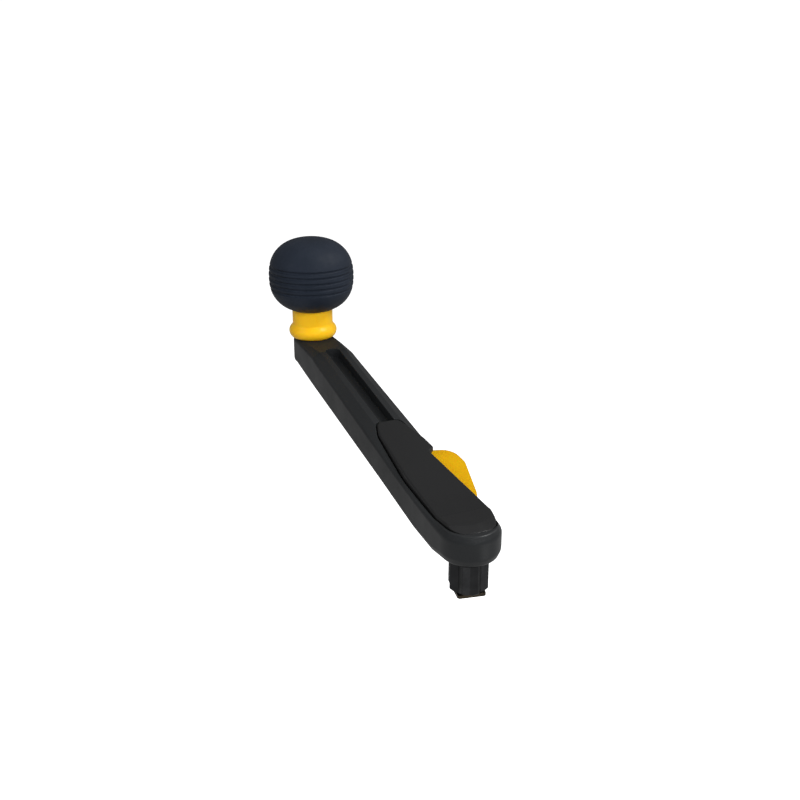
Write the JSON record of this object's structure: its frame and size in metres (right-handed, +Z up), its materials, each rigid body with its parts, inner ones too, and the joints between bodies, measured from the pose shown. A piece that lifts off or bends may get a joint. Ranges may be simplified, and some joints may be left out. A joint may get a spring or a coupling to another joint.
{
  "type": "lock-in winch handle",
  "caption": "Lock-in winch handle: rising channelled arm, free-turning ball knob, star drive spigot, and a sprung thumb lever that turns the square lock plate.",
  "frame": {"origin": "on the drive axis, in the plane of the hub's seat on the winch top", "axes": "+Z up along the drive axis, +X along the arm to the knob, lever on the -Y side"},
  "size_m": [0.304, 0.063, 0.1564],
  "materials": {
    "arm": "fine satin moulding",
    "cover": "fine satin moulding",
    "brass_insert": "machined",
    "steel_fastener": "plain stainless",
    "spigot": "dark anodised",
    "bush_plastic": "natural acetal",
    "seal_rubber": "smooth",
    "spindle_steel": "turned stainless",
    "plate_bronze": "dull bronze",
    "lever_yellow": "semi-gloss moulding",
    "spring_steel": "drawn wire",
    "collar_yellow": "semi-gloss moulding",
    "grip_rubber": "soft matt"
  },
  "bodies": {
    "handle": {"arm_body": "arm", "top_cover": "cover", "cover_inserts": "brass_insert", "cover_screws": "steel_fastener", "drive_spigot": "spigot", "spigot_washer": "steel_fastener", "spigot_nut": "steel_fastener", "spindle_bush_upper": "bush_plastic", "spindle_bush_lower": "bush_plastic", "spindle_seal": "seal_rubber", "return_spring": "spring_steel", "knob_spindle": "spindle_steel", "knob_spindle_washer": "steel_fastener", "knob_spindle_nut": "steel_fastener", "knob_thrust_washer": "bush_plastic", "knob_retaining_washer": "steel_fastener", "knob_retaining_screw": "steel_fastener"},
    "lock": {"lock_spindle": "spindle_steel", "lock_plate": "plate_bronze", "lock_plate_screw": "steel_fastener", "release_lever": "lever_yellow", "lever_washer": "steel_fastener", "lever_screw": "steel_fastener"},
    "knob": {"knob_core": "collar_yellow", "knob_grip": "grip_rubber", "knob_bush_lower": "bush_plastic", "knob_bush_upper": "bush_plastic", "knob_cap": "bush_plastic"}
  },
  "joints": [
    {"name": "knob_spin", "type": "hinge", "parent": "handle", "child": "knob", "pos_m": [0.254, 0, 0.1], "axis": [0, 0, 1], "continuous": true},
    {"name": "lock_release", "type": "hinge", "parent": "handle", "child": "lock", "pos_m": [0, 0, 0], "axis": [0, 0, 1], "range_deg": [0, 11.6], "stiffness_Nm_per_rad": 0.4, "springref_deg": -20.05}
  ]
}
